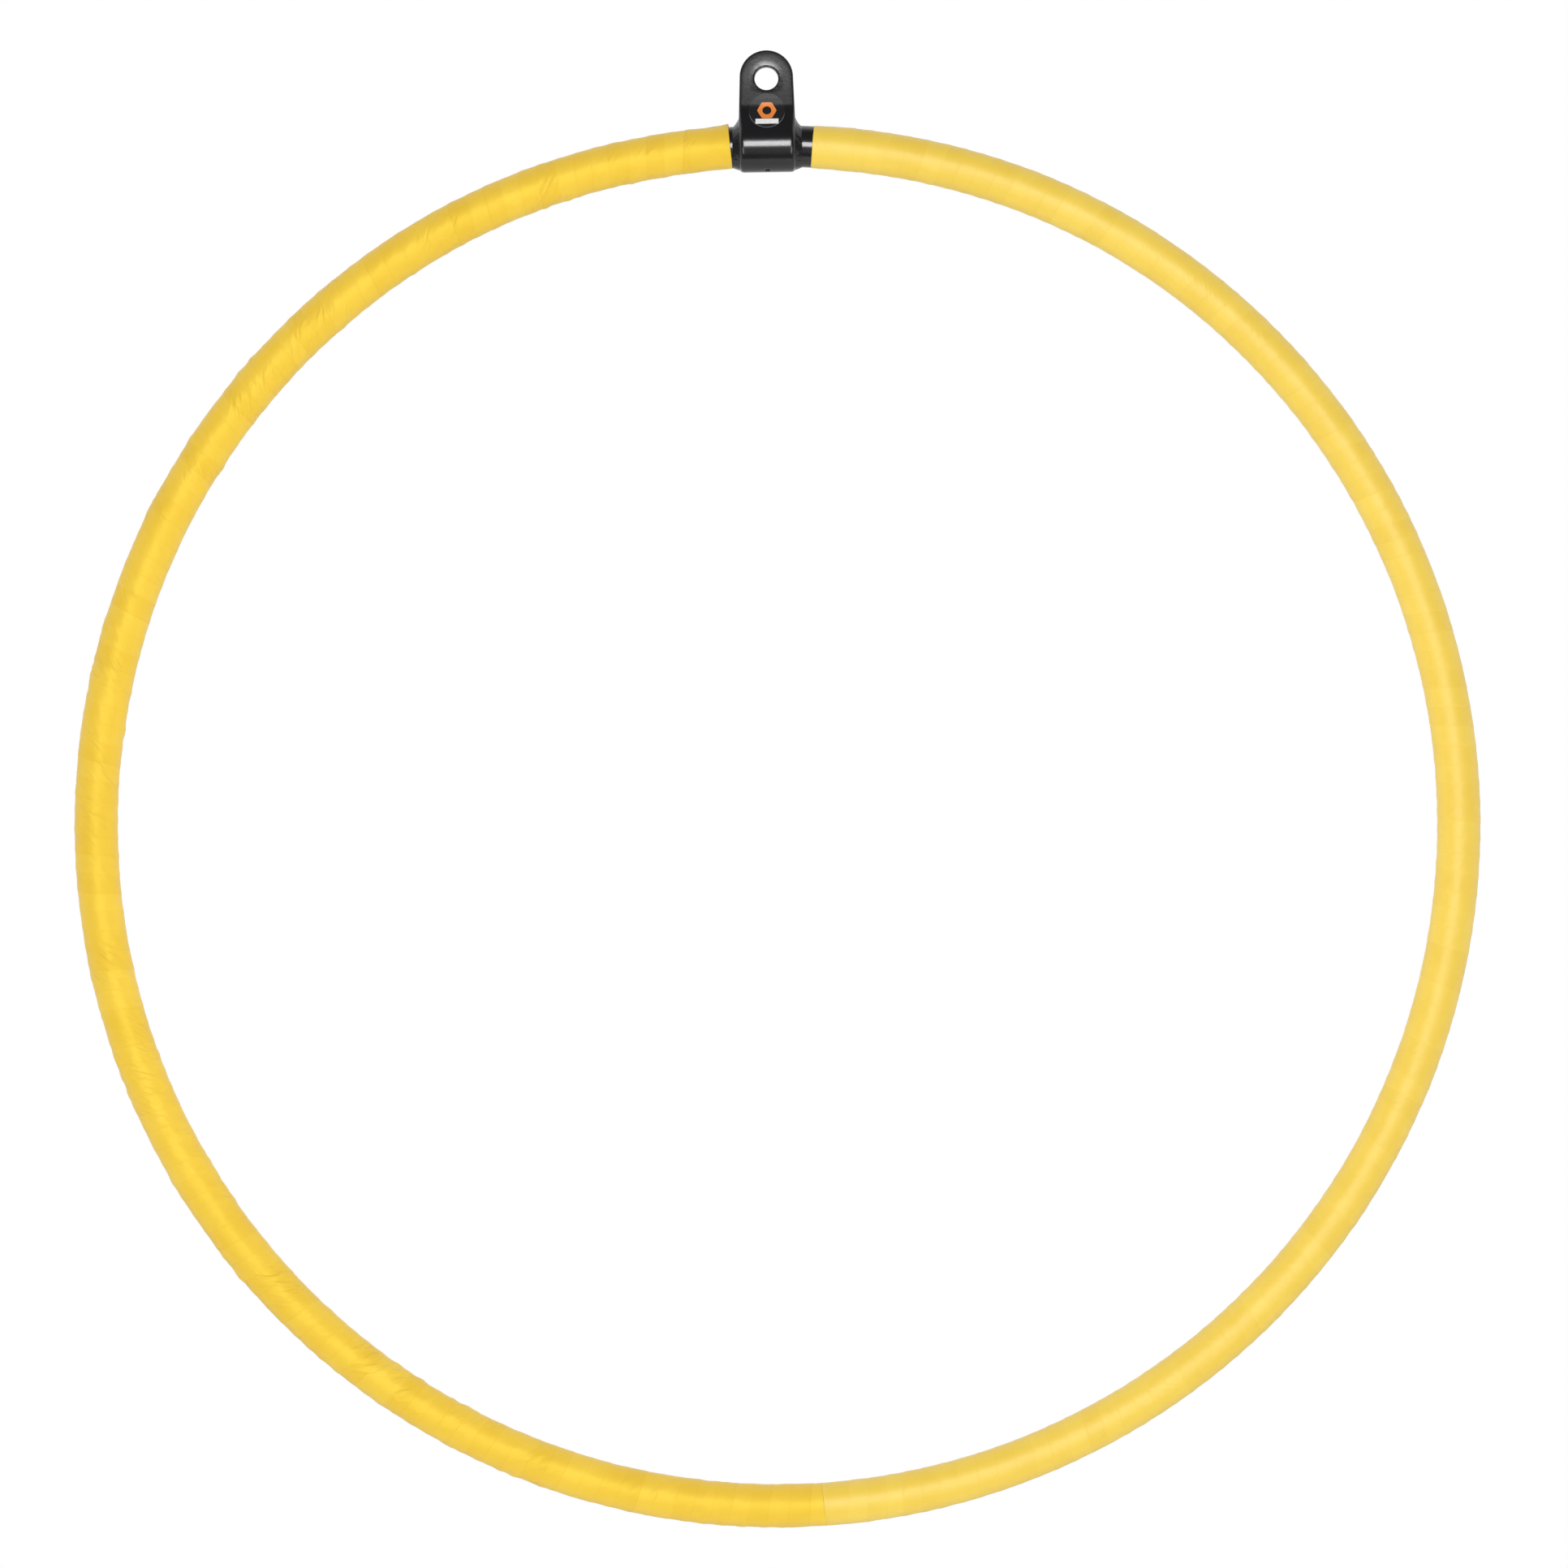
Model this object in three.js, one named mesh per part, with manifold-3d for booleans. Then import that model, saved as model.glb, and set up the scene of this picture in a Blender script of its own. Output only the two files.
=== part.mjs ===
// Single-point aerial hoop: a round steel ring that hangs from one welded tab, wrapped in two lengths of
// cloth tape. Millimetres. +Z is up, +X is to the right seen from the front, and the front faces -Y.
// The origin is the centre of the hanging eye, and the ring lies in the XZ plane.
import * as THREE from 'three';
import { mergeVertices } from 'three/addons/utils/BufferGeometryUtils.js';
import Module from 'manifold-3d';

// ---- driving dimensions --------------------------------------------------------------------------------

const GAP = 0.3; // between pieces that touch on the real hoop

// The ring: 850 mm over the steel, rolled from 25 mm tube, a little flat where its ends were joined.
const HOOP_OUTER_DIAMETER = 850;
const TUBE_RADIUS = 12.5;
const TUBE_WALL = 3;
const JOINT_FLAT = 1.8;
const JOINT_FLAT_SPREAD = THREE.MathUtils.degToRad(35);
const ROOT_GAP = 3;
const SLEEVE_WALL = 2.5;

// The tab: one bar folded round the tube, with both its ends standing up as two plies.
const STRAP_THICKNESS = 3.2;
const STRAP_WIDTH = 34.4;
const FLARE_ANGLE = THREE.MathUtils.degToRad(32);
const BEND_RADIUS = 6;
const TAPER_START = 12;
const TAB_TOP_RADIUS = 16.2;
const TAB_TOP_RISE = 1.1; // the tab's top arc is centred this far above the eye
const EYE_HEIGHT = 40.7;
const EYE_RADIUS = 7.15;
const EYE_CHAMFER = 0.6;
const VENT_RADIUS = 1.75;
const VENT_ANGLE = THREE.MathUtils.degToRad(15.25); // forward of straight down

// The welds.
const FILLET_LENGTH = 4;
const FILLET_TOE = 0.6;
const WEB_DEPTH = 3;
const WEB_SPREAD = 1.4;
const WEB_TOP_INSET = 0.4;
const SEAM_DEPTH = 1.5;
const SEAM_WIDTH = 2;
const SEAM_START = 27;

// The tape: two layers of cloth tape on the steel, from near the tab down to the join by the bottom.
const TAPE_RADIUS = 13.05;
const TAPE_END_RIGHT = 27.2;
const TAPE_END_LEFT = 22.4;
const TAPE_JOIN_ANGLE = THREE.MathUtils.degToRad(3.07);

// The label on the front of the tab, and what is printed on it. Heights are above the tube's centre.
const LABEL_THICKNESS = 0.2;
const LABEL_RADIUS = 11;
const LABEL_HEIGHT = 20.3;
const MARK_WIDTH = 12;
const MARK_HOLE_RADIUS = 3;
const MARK_HEIGHT = 20.6;
const BAR_WIDTH = 13.9;
const BAR_TALL = 3.3;
const BAR_HEIGHT = 13.4;

// How finely round things are cut.
const HOOP_STEPS = 96;
const TUBE_SIDES = 16;
const BORE_SIDES = 12;
const ROUND_SIDES = 32;
const VENT_SIDES = 16;
const CURVE_SEGMENTS = 8;

// ---- worked out from them ------------------------------------------------------------------------------

const HOOP_RADIUS = HOOP_OUTER_DIAMETER / 2 - TUBE_RADIUS;
const TOP_RADIUS = HOOP_RADIUS - JOINT_FLAT;
const STEP_ANGLE = 2 * Math.PI / HOOP_STEPS;
const BORE_RADIUS = TUBE_RADIUS - TUBE_WALL;
const SLEEVE_RADIUS = BORE_RADIUS - GAP;
const WRAP_RADIUS = TUBE_RADIUS + STRAP_THICKNESS;
const PLY_GAP = GAP / 2;
const HALF_WIDTH = STRAP_WIDTH / 2;
const FAR = 100; // well past every face of the tab

const blackCoat = new THREE.MeshStandardMaterial({ color: 0x232325, roughness: 0.35, metalness: 0.1 });
const bareSteel = new THREE.MeshStandardMaterial({ color: 0x8d8f92, roughness: 0.45, metalness: 0.9 });
const yellowTape = new THREE.MeshStandardMaterial({ color: 0xf2cd52, roughness: 0.75, metalness: 0 });
const blackVinyl = new THREE.MeshStandardMaterial({ color: 0x1c1c1e, roughness: 0.25, metalness: 0 });
const orangeInk = new THREE.MeshStandardMaterial({ color: 0xf08a35, roughness: 0.35, metalness: 0 });
const whiteInk = new THREE.MeshStandardMaterial({ color: 0xf3f3f1, roughness: 0.35, metalness: 0 });

const wasm = await Module();
wasm.setup();

// ---- helpers -------------------------------------------------------------------------------------------

function toSolid(geometry) {
  const bare = geometry.clone();
  bare.deleteAttribute('normal');
  bare.deleteAttribute('uv');
  const merged = mergeVertices(bare, 1e-4);
  const mesh = new wasm.Mesh({
    numProp: 3,
    vertProperties: merged.attributes.position.array,
    triVerts: new Uint32Array(merged.index.array),
  });
  return new wasm.Manifold(mesh);
}

function toGeometry(solid) {
  const mesh = solid.getMesh();
  const geometry = new THREE.BufferGeometry();
  geometry.setAttribute('position', new THREE.BufferAttribute(mesh.vertProperties, 3));
  geometry.setIndex(new THREE.BufferAttribute(mesh.triVerts, 1));
  geometry.computeVertexNormals();
  return geometry;
}

function piece(name, geometry, material) {
  const mesh = new THREE.Mesh(geometry, material);
  mesh.name = name;
  return mesh;
}

function boxSolid(lowX, highX, lowZ, highZ) {
  const geometry = new THREE.BoxGeometry(highX - lowX, FAR, highZ - lowZ);
  geometry.translate((lowX + highX) / 2, 0, (lowZ + highZ) / 2);
  return toSolid(geometry);
}

// ---- the ring, about its own centre --------------------------------------------------------------------

// The tube's centre line between two angles, which are measured from the top towards +X.
class HoopLine extends THREE.Curve {
  constructor(from, to) {
    super();
    this.from = from;
    this.to = to;
  }

  getPoint(t, target = new THREE.Vector3()) {
    const angle = THREE.MathUtils.lerp(this.from, this.to, t);
    const fromTop = Math.min(Math.abs(angle), 2 * Math.PI - Math.abs(angle));
    const flat = Math.min(fromTop / JOINT_FLAT_SPREAD, 1);
    const radius = HOOP_RADIUS - JOINT_FLAT * Math.cos(flat * Math.PI / 2) ** 2;
    return target.set(radius * Math.sin(angle), 0, radius * Math.cos(angle));
  }
}

function circlePoints(radius, sides) {
  const points = [];
  for (let i = 0; i < sides; i += 1) {
    const angle = 2 * Math.PI * i / sides;
    points.push(new THREE.Vector2(radius * Math.cos(angle), radius * Math.sin(angle)));
  }
  return points;
}

function sweepAlongHoop(outerPoints, innerPoints, from, to) {
  const section = new THREE.Shape(outerPoints);
  section.holes.push(new THREE.Path(innerPoints));
  const steps = Math.round((to - from) / STEP_ANGLE);
  return new THREE.ExtrudeGeometry(section, { steps, extrudePath: new HoopLine(from, to) });
}

function makeHoopTube() {
  const end = ROOT_GAP / 2 / TOP_RADIUS;
  const outer = circlePoints(TUBE_RADIUS, TUBE_SIDES);
  const inner = circlePoints(BORE_RADIUS, BORE_SIDES);
  return piece('hoop_tube', sweepAlongHoop(outer, inner, end, 2 * Math.PI - end), blackCoat);
}

function makeTapeWrap(name, from, to) {
  const outer = circlePoints(TAPE_RADIUS, TUBE_SIDES);
  const inner = circlePoints(TUBE_RADIUS + GAP, TUBE_SIDES);
  return piece(name, sweepAlongHoop(outer, inner, from, to), yellowTape);
}

// One step long to each side of the joint, so that it bends where the tube round it bends.
function makeJointSleeve() {
  const outer = circlePoints(SLEEVE_RADIUS, BORE_SIDES);
  const inner = circlePoints(SLEEVE_RADIUS - SLEEVE_WALL, BORE_SIDES);
  return piece('joint_sleeve', sweepAlongHoop(outer, inner, -STEP_ANGLE, STEP_ANGLE), bareSteel);
}

function makeRing() {
  const ring = new THREE.Group();
  const halfJoin = GAP / 2 / HOOP_RADIUS;
  const joinRight = Math.PI - TAPE_JOIN_ANGLE - halfJoin;
  const joinLeft = -Math.PI - TAPE_JOIN_ANGLE + halfJoin;
  ring.add(makeHoopTube());
  ring.add(makeJointSleeve());
  ring.add(makeTapeWrap('tape_wrap_right', TAPE_END_RIGHT / TOP_RADIUS, joinRight));
  ring.add(makeTapeWrap('tape_wrap_left', joinLeft, -TAPE_END_LEFT / TOP_RADIUS));
  return ring;
}

// ---- the tab, about the centre of the tube below it ----------------------------------------------------

// A solid with the outline that the folded bar has seen from its side: two upright faces this far from the
// middle, which flare out below the bend and run into a round of this radius about the tube.
function foldedBlock(plyDistance, wrapRadius, width) {
  const sin = Math.sin(FLARE_ANGLE);
  const cos = Math.cos(FLARE_ANGLE);
  const cornerHeight = (wrapRadius - plyDistance * cos) / sin;
  const bendRadius = BEND_RADIUS + STRAP_THICKNESS - plyDistance;
  const reach = bendRadius * Math.tan(FLARE_ANGLE / 2);
  const slopeY = plyDistance + reach * sin;
  const slopeZ = cornerHeight - reach * cos;
  const outline = new THREE.Shape();
  outline.moveTo(plyDistance, FAR);
  outline.lineTo(-plyDistance, FAR);
  outline.lineTo(-plyDistance, cornerHeight + reach);
  outline.quadraticCurveTo(-plyDistance, cornerHeight, -slopeY, slopeZ);
  outline.absarc(0, 0, wrapRadius, Math.PI - FLARE_ANGLE, 2 * Math.PI + FLARE_ANGLE, false);
  outline.lineTo(slopeY, slopeZ);
  outline.quadraticCurveTo(plyDistance, cornerHeight, plyDistance, cornerHeight + reach);
  const geometry = new THREE.ExtrudeGeometry(outline, {
    depth: width,
    bevelEnabled: false,
    curveSegments: CURVE_SEGMENTS,
  });
  geometry.translate(0, 0, -width / 2);
  // The outline's x becomes Y, its y becomes Z and its depth becomes X.
  const turn = new THREE.Matrix4().makeBasis(
    new THREE.Vector3(0, 1, 0),
    new THREE.Vector3(0, 0, 1),
    new THREE.Vector3(1, 0, 0),
  );
  geometry.applyMatrix4(turn);
  return toSolid(geometry);
}

// A shape drawn as seen from the front, as a solid this thick about the tab's middle plane.
function frontSolid(shape, thickness) {
  const geometry = new THREE.ExtrudeGeometry(shape, {
    depth: thickness,
    bevelEnabled: false,
    curveSegments: ROUND_SIDES / 2,
  });
  geometry.translate(0, 0, -thickness / 2);
  geometry.rotateX(Math.PI / 2);
  return toSolid(geometry);
}

// The tab's outline seen from the front, drawn in by an inset.
function tabOutline(inset) {
  const foot = HALF_WIDTH - inset;
  const top = TAB_TOP_RADIUS - inset;
  const outline = new THREE.Shape();
  outline.moveTo(-foot, -FAR);
  outline.lineTo(foot, -FAR);
  outline.lineTo(foot, TAPER_START);
  outline.absarc(0, EYE_HEIGHT + TAB_TOP_RISE, top, 0, Math.PI, false);
  outline.lineTo(-foot, TAPER_START);
  return outline;
}

// The tab's edge to a depth, above the start of the seam weld.
function tabEdge(grow, depth, thickness, start) {
  const rim = frontSolid(tabOutline(-grow), thickness).subtract(frontSolid(tabOutline(depth), FAR));
  return rim.intersect(boxSolid(-FAR, FAR, start, FAR));
}

function eyeCutter() {
  const flare = 1;
  const profile = [
    new THREE.Vector2(0, -STRAP_THICKNESS - flare),
    new THREE.Vector2(EYE_RADIUS + EYE_CHAMFER + flare, -STRAP_THICKNESS - flare),
    new THREE.Vector2(EYE_RADIUS, EYE_CHAMFER - STRAP_THICKNESS),
    new THREE.Vector2(EYE_RADIUS, STRAP_THICKNESS - EYE_CHAMFER),
    new THREE.Vector2(EYE_RADIUS + EYE_CHAMFER + flare, STRAP_THICKNESS + flare),
    new THREE.Vector2(0, STRAP_THICKNESS + flare),
  ];
  const geometry = new THREE.LatheGeometry(profile, ROUND_SIDES);
  geometry.translate(0, 0, EYE_HEIGHT);
  return toSolid(geometry);
}

function ventCutter() {
  const geometry = new THREE.CylinderGeometry(VENT_RADIUS, VENT_RADIUS, WRAP_RADIUS, VENT_SIDES);
  geometry.rotateX(Math.PI / 2);
  geometry.translate(0, 0, -WRAP_RADIUS);
  geometry.rotateX(-VENT_ANGLE);
  return toSolid(geometry);
}

// The tube with its clearance, as it passes through the tab.
function tubeCutter() {
  const section = new THREE.Shape(circlePoints(TUBE_RADIUS + GAP, ROUND_SIDES));
  const path = new HoopLine(-2 * STEP_ANGLE, 2 * STEP_ANGLE);
  const geometry = new THREE.ExtrudeGeometry(section, { steps: 4, extrudePath: path });
  geometry.translate(0, 0, -TOP_RADIUS);
  return toSolid(geometry);
}

function makeTabStrap() {
  const strap = foldedBlock(STRAP_THICKNESS, WRAP_RADIUS, STRAP_WIDTH)
    .intersect(frontSolid(tabOutline(0), FAR))
    .subtract(foldedBlock(PLY_GAP, TUBE_RADIUS, FAR))
    .subtract(tubeCutter())
    .subtract(eyeCutter())
    .subtract(ventCutter())
    .subtract(tabEdge(GAP, SEAM_DEPTH + GAP, SEAM_WIDTH + 2 * GAP, SEAM_START - GAP));
  return piece('tab_strap', toGeometry(strap), blackCoat);
}

function makeSeamWeld() {
  return piece('seam_weld', toGeometry(tabEdge(0, SEAM_DEPTH, SEAM_WIDTH, SEAM_START)), blackCoat);
}

// The butt weld between the tube's ends: a ring about X, opened by the vent hole.
function makeJointWeld() {
  const halfLength = ROOT_GAP / 2 - GAP;
  const profile = [
    new THREE.Vector2(BORE_RADIUS, -halfLength),
    new THREE.Vector2(TUBE_RADIUS, -halfLength),
    new THREE.Vector2(TUBE_RADIUS, halfLength),
    new THREE.Vector2(BORE_RADIUS, halfLength),
    new THREE.Vector2(BORE_RADIUS, -halfLength),
  ];
  const geometry = new THREE.LatheGeometry(profile, TUBE_SIDES);
  geometry.rotateZ(-Math.PI / 2);
  return piece('joint_weld', toGeometry(toSolid(geometry).subtract(ventCutter())), bareSteel);
}

// The web of weld that closes the three-cornered opening between the plies and the tube, at +X. Its outer
// face spreads towards the tube.
function sideWeb() {
  const slope = TUBE_RADIUS - GAP;
  const baseZ = TUBE_RADIUS / 2;
  const baseY = (slope - baseZ * Math.sin(FLARE_ANGLE)) / Math.cos(FLARE_ANGLE);
  const apexZ = slope / Math.sin(FLARE_ANGLE);
  const pocket = new THREE.Shape([
    new THREE.Vector2(-baseY, baseZ),
    new THREE.Vector2(baseY, baseZ),
    new THREE.Vector2(0, apexZ),
  ]);
  const web = new THREE.ExtrudeGeometry(pocket, { depth: STRAP_WIDTH, bevelEnabled: false });
  web.rotateX(Math.PI / 2);
  web.rotateZ(Math.PI / 2);
  const face = new THREE.Shape([
    new THREE.Vector2(HALF_WIDTH - WEB_DEPTH, 0),
    new THREE.Vector2(HALF_WIDTH + WEB_SPREAD, 0),
    new THREE.Vector2(HALF_WIDTH + WEB_SPREAD, TUBE_RADIUS),
    new THREE.Vector2(HALF_WIDTH - WEB_TOP_INSET, apexZ),
    new THREE.Vector2(HALF_WIDTH - WEB_DEPTH, apexZ),
  ]);
  return toSolid(web).intersect(frontSolid(face, FAR));
}

// The weld on one side of the tab, side being 1 for +X and -1 for -X: a fillet round the tube, and the web.
function makeSideWeld(name, side) {
  const start = HALF_WIDTH + GAP;
  const end = HALF_WIDTH + FILLET_LENGTH;
  const throat = (start + end) / 2;
  const toeRadius = TUBE_RADIUS + GAP + FILLET_TOE;
  const profile = [
    new THREE.Vector2(TUBE_RADIUS - GAP, start - WEB_DEPTH),
    new THREE.Vector2(WRAP_RADIUS, start - WEB_DEPTH),
    new THREE.Vector2(WRAP_RADIUS, start),
    new THREE.Vector2((WRAP_RADIUS + toeRadius) / 2 - GAP, throat),
    new THREE.Vector2(toeRadius, end),
    new THREE.Vector2(TUBE_RADIUS - GAP, end),
    new THREE.Vector2(TUBE_RADIUS - GAP, start - WEB_DEPTH),
  ];
  const fillet = new THREE.LatheGeometry(profile, ROUND_SIDES);
  fillet.rotateZ(-Math.PI / 2);
  // Set square to the tube, which already slopes down here.
  const place = new HoopLine(0, throat / TOP_RADIUS).getPoint(1);
  fillet.translate(-throat, 0, 0);
  fillet.rotateY(throat / TOP_RADIUS);
  fillet.translate(throat, 0, place.z - TOP_RADIUS);
  const weld = toSolid(fillet)
    .intersect(boxSolid(start, FAR, -FAR, FAR))
    .add(sideWeb())
    .subtract(tubeCutter());
  const geometry = toGeometry(weld);
  if (side < 0) {
    geometry.rotateZ(Math.PI);
  }
  return piece(name, geometry, blackCoat);
}

// A layer on the tab's front, cut to a shape drawn as seen from the front. It follows the bend in the tab.
function frontLayer(name, shape, lift, thickness, material) {
  const outer = STRAP_THICKNESS + lift + thickness;
  const inner = STRAP_THICKNESS + lift;
  const front = new THREE.BoxGeometry(FAR, FAR, FAR);
  front.translate(0, -FAR / 2, 0);
  const layer = foldedBlock(outer, TUBE_RADIUS + outer, STRAP_WIDTH)
    .subtract(foldedBlock(inner, TUBE_RADIUS + inner, FAR))
    .intersect(frontSolid(shape, FAR))
    .intersect(toSolid(front));
  return piece(name, toGeometry(layer), material);
}

function makeLabelDisc() {
  const disc = new THREE.Shape();
  disc.absarc(0, LABEL_HEIGHT, LABEL_RADIUS, 0, 2 * Math.PI, false);
  return frontLayer('label_disc', disc, GAP, LABEL_THICKNESS, blackVinyl);
}

// A plain six-sided mark with a round hole.
function makeLabelMark() {
  const mark = new THREE.Shape(
    circlePoints(MARK_WIDTH / 2, 6).map((point) => new THREE.Vector2(point.x, point.y + MARK_HEIGHT)),
  );
  const hole = new THREE.Path();
  hole.absarc(0, MARK_HEIGHT, MARK_HOLE_RADIUS, 0, 2 * Math.PI, true);
  mark.holes.push(hole);
  return frontLayer('label_mark', mark, 2 * GAP + LABEL_THICKNESS, LABEL_THICKNESS, orangeInk);
}

function makeSerialBar() {
  const low = BAR_HEIGHT - BAR_TALL / 2;
  const high = BAR_HEIGHT + BAR_TALL / 2;
  const bar = new THREE.Shape([
    new THREE.Vector2(-BAR_WIDTH / 2, low),
    new THREE.Vector2(BAR_WIDTH / 2, low),
    new THREE.Vector2(BAR_WIDTH / 2, high),
    new THREE.Vector2(-BAR_WIDTH / 2, high),
  ]);
  return frontLayer('serial_bar', bar, 2 * GAP + LABEL_THICKNESS, LABEL_THICKNESS, whiteInk);
}

function makeTab() {
  const tab = new THREE.Group();
  tab.add(makeTabStrap());
  tab.add(makeSeamWeld());
  tab.add(makeJointWeld());
  tab.add(makeSideWeld('side_weld_right', 1));
  tab.add(makeSideWeld('side_weld_left', -1));
  tab.add(makeLabelDisc());
  tab.add(makeLabelMark());
  tab.add(makeSerialBar());
  return tab;
}

// ---- the whole hoop ------------------------------------------------------------------------------------

const hoop = new THREE.Group();
const ring = makeRing();
const tab = makeTab();
ring.position.z = -EYE_HEIGHT - TOP_RADIUS;
tab.position.z = -EYE_HEIGHT;
hoop.add(ring, tab);

export default hoop;
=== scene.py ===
"""The looks of a single-point aerial hoop: a taped steel ring, its welded hanging tab and the label.

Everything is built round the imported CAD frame, whose origin is the centre of the hanging eye.
"""
import math

import bmesh
import bpy
import numpy as np
from mathutils import Matrix, Vector


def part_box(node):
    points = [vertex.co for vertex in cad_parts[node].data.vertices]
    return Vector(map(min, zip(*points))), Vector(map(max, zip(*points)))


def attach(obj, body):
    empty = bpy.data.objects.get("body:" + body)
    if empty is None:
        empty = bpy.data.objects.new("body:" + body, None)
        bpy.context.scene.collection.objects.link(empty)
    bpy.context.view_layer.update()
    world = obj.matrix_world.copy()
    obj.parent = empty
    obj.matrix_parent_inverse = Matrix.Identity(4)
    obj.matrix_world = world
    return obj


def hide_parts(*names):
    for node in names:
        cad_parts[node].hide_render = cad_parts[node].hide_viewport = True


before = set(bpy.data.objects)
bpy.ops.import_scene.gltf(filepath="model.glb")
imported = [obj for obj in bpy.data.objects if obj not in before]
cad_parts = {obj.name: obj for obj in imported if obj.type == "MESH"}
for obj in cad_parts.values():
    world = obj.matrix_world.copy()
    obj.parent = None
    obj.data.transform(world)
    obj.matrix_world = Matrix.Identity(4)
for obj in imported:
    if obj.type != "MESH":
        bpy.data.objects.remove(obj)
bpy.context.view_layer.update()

# ---- sizes, in millimetres -----------------------------------------------------------------------

MM = 0.001  # metres in a millimetre
tube_low, tube_high = (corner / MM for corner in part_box("hoop_tube"))
strap_low, strap_high = (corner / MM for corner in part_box("tab_strap"))
label_low, label_high = (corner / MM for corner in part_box("label_disc"))
mark_low, mark_high = (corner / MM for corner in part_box("label_mark"))
bar_low, bar_high = (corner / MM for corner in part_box("serial_bar"))

TUBE_RADIUS = tube_high.y
HOOP_RADIUS = tube_high.x - TUBE_RADIUS
HOOP_CENTRE_Z = tube_low.z + TUBE_RADIUS + HOOP_RADIUS
WRAP_RADIUS = strap_high.y
STRAP_THICKNESS = WRAP_RADIUS - TUBE_RADIUS
HALF_WIDTH = strap_high.x
TAB_TOP_RISE = 1.1  # the tab's top arc is centred this far above the eye
TAB_TOP_RADIUS = strap_high.z - TAB_TOP_RISE
EYE_HEIGHT = -strap_low.z - WRAP_RADIUS
ARC_HEIGHT = EYE_HEIGHT + TAB_TOP_RISE
TOP_RADIUS = -EYE_HEIGHT - HOOP_CENTRE_Z
JOINT_FLAT = HOOP_RADIUS - TOP_RADIUS
JOINT_FLAT_SPREAD = math.radians(35)
TUBE_WALL = 3.0
HALF_ROOT_GAP = 1.5  # half the gap between the tube's ends

# The tab's fold. Heights are above the centre of the tube under the tab.
FLARE_ANGLE = math.radians(32)
BEND_RADIUS = 12.0
TAPER_START = 12.0
EYE_RADIUS = 7.15
VENT_RADIUS = 1.75
PLY_INNER_GAP = 0.15
TAB_EDGE_ROUND = 1.3
WRAP_EDGE_ROUND = 2.9
INNER_EDGE_ROUND = 0.7

# The tape, and where its two lengths end and meet.
TAPE_WIDTH = 25.0
TAPE_THICKNESS = 0.2
TAPE_PITCH = 11.4  # how far a turn goes along the tube, on average
PITCH_SPREAD = 0.08  # how much the turns differ, as a share of it
PITCH_LIMITS = (0.85, 1.15)
TAPE_JOIN_ANGLE = math.radians(3.07)
TAPE_END_RIGHT = 27.2
TAPE_END_LEFT = 22.4
HALF_JOIN = 0.02  # half the gap between the two lengths
JOIN_SLOPE = 0.6  # how far the join leans to the right on the outside of the ring, from upright
JOIN_FADE = (1, 40)  # from the join, where that lean starts and stops fading
END_SLANT = 0.35  # how far the end at the tab runs back on the outside of the ring
END_FADE = (40, 4)  # from the end at the tab, where that slant starts and is whole

# The wound strip's grid, and how it lies.
COLUMNS_PER_TURN = 52
SHOWN_ROWS = (0.05, 0.12, 0.22, 0.32, 0.42, 0.52, 0.62, 0.72, 0.82, 0.91, 1.0)  # shares of the shown width
SHOWN_EXTRA = 0.8  # how far the shown width reaches under the next turn
COVERED_ROW = 4  # how far past it the first covered row is
CUT_EDGE_OUT = 0.35  # how far outside the trailing edge its cut edge ends
CUT_EDGE_DROP = 0.05
EDGE_CLEARANCE = 0.02
EDGE_WANDER = 0.22  # how far the trailing edge strays
BRIDGE = (-1.0, 3.5)  # past an earlier turn's far edge, where the tape comes down off it
PRESSED_REACH = (-1.0, 2.2)  # across the tape, where its trailing edge is pressed down
PRESSED_EDGE = 0.85  # the share of the tape's thickness that it is pressed down by
SWELL_LIMITS = (-0.25, 0.7)
SHOWN_RISE = 0.36  # the least rise off the steel at the trailing edge
SHOWN_FALL = 0.14  # how much less it is at the end of the shown width
COVERED_RISE = 0.12
LEAST_RISE = 0.03
CURL_REACH = 9
CURL_SPREAD = math.radians(38)

# The tape's creases and weave.
CREASE_LEAN = math.radians(-45)  # creases run down the ring as they go inwards
CREASES_START = (60, 260)  # from the join, where the fine creases begin and are at their strongest
STREAKS_ALONG = 0.04  # streaks to a millimetre, along the creases, across them and to the front
STREAKS_ACROSS = 0.2
STREAKS_FRONT = 0.06
THREADS_PER_MM = 2.1


# ---- noise and mesh helpers ----------------------------------------------------------------------


def noise(points, seed):
    """Smooth noise from -1 to 1 at points of three columns: a bump to a unit, repeating after 32."""
    lattice = np.random.default_rng(seed).uniform(-1, 1, (32, 32, 32))
    cell = np.floor(points).astype(int)
    part = points - cell
    part = part * part * (3 - 2 * part)
    total = np.zeros(len(points))
    for corner in np.ndindex(2, 2, 2):
        weight = np.ones(len(points))
        for axis in range(3):
            weight *= part[:, axis] if corner[axis] else 1 - part[:, axis]
        index = (cell + corner) % 32
        total += weight * lattice[index[:, 0], index[:, 1], index[:, 2]]
    return total


def smoothstep(value, low, high):
    share = np.clip((value - low) / (high - low), 0, 1)
    return share * share * (3 - 2 * share)


def new_object(name, data):
    """An object that holds this data, in the scene."""
    made = bpy.data.objects.new(name, data)
    bpy.context.scene.collection.objects.link(made)
    return made


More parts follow.
